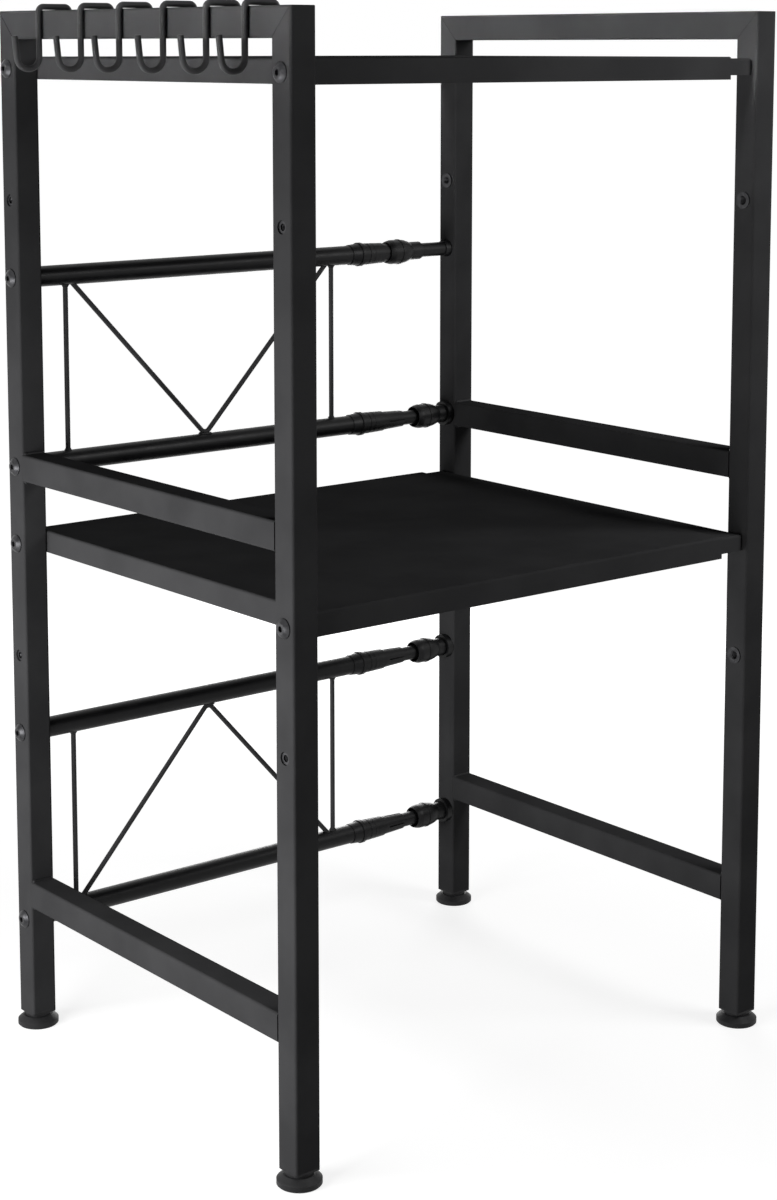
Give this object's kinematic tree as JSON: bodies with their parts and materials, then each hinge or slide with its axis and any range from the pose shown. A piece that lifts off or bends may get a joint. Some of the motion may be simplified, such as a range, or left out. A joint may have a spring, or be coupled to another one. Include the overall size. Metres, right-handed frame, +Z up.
{
  "type": "microwave stand",
  "caption": "Black steel microwave stand of adjustable width, with nested sheet shelves, telescopic rear bars with lock collars, wire braces, hooks and levelling feet.",
  "frame": {"origin": "on the floor, under the middle of the box around the whole stand with its hooks and feet", "axes": "+X towards the right frame, the way the stand is pulled wider, +Y towards the rear bars, +Z up"},
  "size_m": [0.4877, 0.381, 0.8048],
  "materials": {
    "frame_paint": "fine satin black powder coat",
    "shelf_paint": "fine matt black powder coat",
    "bar_paint": "satin black powder coat",
    "wire_paint": "satin black powder coat on wire",
    "collet_plastic": "moulded black plastic, satin",
    "foot_plastic": "moulded black plastic, matt",
    "bolt_steel": "black coated steel",
    "nut_steel": "dark coated steel"
  },
  "bodies": {
    "left_frame": {"left_front_leg": "frame_paint", "left_rear_leg": "frame_paint", "left_top_bar": "frame_paint", "left_guard_rail": "frame_paint", "left_bottom_rail": "frame_paint", "left_rivet_nuts": "nut_steel", "left_foot_sockets": "foot_plastic", "left_shelf_bolts": "bolt_steel", "left_bar_bolts": "bolt_steel", "left_bar_plugs": "nut_steel", "top_shelf_outer_tray": "shelf_paint", "middle_shelf_outer_tray": "shelf_paint", "upper_bar_outer_tube": "bar_paint", "upper_bar_collet": "collet_plastic", "guard_bar_outer_tube": "bar_paint", "guard_bar_collet": "collet_plastic", "lower_bar_outer_tube": "bar_paint", "lower_bar_collet": "collet_plastic", "bottom_bar_outer_tube": "bar_paint", "bottom_bar_collet": "collet_plastic", "upper_brace_left_post": "wire_paint", "upper_brace_right_post": "wire_paint", "upper_brace_bent_wire": "wire_paint", "lower_brace_left_post": "wire_paint", "lower_brace_right_post": "wire_paint", "lower_brace_bent_wire": "wire_paint"},
    "right_frame": {"right_front_leg": "frame_paint", "right_rear_leg": "frame_paint", "right_top_bar": "frame_paint", "right_guard_rail": "frame_paint", "right_bottom_rail": "frame_paint", "right_rivet_nuts": "nut_steel", "right_foot_sockets": "foot_plastic", "right_shelf_bolts": "bolt_steel", "right_bar_bolts": "bolt_steel", "right_bar_plugs": "nut_steel", "top_shelf_inner_tray": "shelf_paint", "middle_shelf_inner_tray": "shelf_paint", "upper_bar_inner_tube": "bar_paint", "guard_bar_inner_tube": "bar_paint", "lower_bar_inner_tube": "bar_paint", "bottom_bar_inner_tube": "bar_paint", "bar_end_flanges": "collet_plastic", "upper_bar_end_cup": "collet_plastic"},
    "left_front_foot_screwed": {"left_front_foot": "foot_plastic"},
    "left_rear_foot_screwed": {"left_rear_foot": "foot_plastic"},
    "right_front_foot_screwed": {"right_front_foot": "foot_plastic"},
    "right_rear_foot_screwed": {"right_rear_foot": "foot_plastic"},
    "upper_collar": {"upper_bar_lock_collar": "collet_plastic"},
    "guard_collar": {"guard_bar_lock_collar": "collet_plastic"},
    "lower_collar": {"lower_bar_lock_collar": "collet_plastic"},
    "bottom_collar": {"bottom_bar_lock_collar": "collet_plastic"},
    "hook_1_hung": {"hook_1": "wire_paint"},
    "hook_2_hung": {"hook_2": "wire_paint"},
    "hook_3_hung": {"hook_3": "wire_paint"},
    "hook_4_hung": {"hook_4": "wire_paint"},
    "hook_5_hung": {"hook_5": "wire_paint"},
    "hook_6_hung": {"hook_6": "wire_paint"}
  },
  "joints": [
    {"name": "width_slide", "type": "slide", "parent": "left_frame", "child": "right_frame", "axis": [1, 0, 0], "range_m": [-0.022, 0.2]},
    {"name": "upper_collar_twist", "type": "hinge", "parent": "left_frame", "child": "upper_collar", "pos_m": [0.16, 0.1745, 0.598], "axis": [1, 0, 0], "range_deg": [0, 90]},
    {"name": "guard_collar_slide", "type": "slide", "parent": "right_frame", "child": "guard_collar", "axis": [-1, 0, 0], "range_m": [0, 0.0305]},
    {"name": "lower_collar_slide", "type": "slide", "parent": "right_frame", "child": "lower_collar", "axis": [-1, 0, 0], "range_m": [0, 0.0305]},
    {"name": "bottom_collar_slide", "type": "slide", "parent": "right_frame", "child": "bottom_collar", "axis": [-1, 0, 0], "range_m": [0, 0.0305]},
    {"name": "hook_1_slide", "type": "slide", "parent": "left_frame", "child": "hook_1_hung", "axis": [0, 1, 0], "range_m": [-0.0212, 0.0374]},
    {"name": "hook_2_slide", "type": "slide", "parent": "left_frame", "child": "hook_2_hung", "axis": [0, 1, 0], "range_m": [-0.0374, 0.0448]},
    {"name": "hook_3_slide", "type": "slide", "parent": "left_frame", "child": "hook_3_hung", "axis": [0, 1, 0], "range_m": [-0.0448, 0.0485]},
    {"name": "hook_4_slide", "type": "slide", "parent": "left_frame", "child": "hook_4_hung", "axis": [0, 1, 0], "range_m": [-0.0485, 0.0439]},
    {"name": "hook_5_slide", "type": "slide", "parent": "left_frame", "child": "hook_5_hung", "axis": [0, 1, 0], "range_m": [-0.0439, 0.0513]},
    {"name": "hook_6_slide", "type": "slide", "parent": "left_frame", "child": "hook_6_hung", "axis": [0, 1, 0], "range_m": [-0.0513, 0.0379]},
    {"name": "left_front_foot_screw", "type": "slide", "parent": "left_frame", "child": "left_front_foot_screwed", "axis": [0, 0, -1], "range_m": [0, 0.01]},
    {"name": "left_rear_foot_screw", "type": "slide", "parent": "left_frame", "child": "left_rear_foot_screwed", "axis": [0, 0, -1], "range_m": [0, 0.01]},
    {"name": "right_front_foot_screw", "type": "slide", "parent": "right_frame", "child": "right_front_foot_screwed", "axis": [0, 0, -1], "range_m": [0, 0.01]},
    {"name": "right_rear_foot_screw", "type": "slide", "parent": "right_frame", "child": "right_rear_foot_screwed", "axis": [0, 0, -1], "range_m": [0, 0.01]}
  ]
}
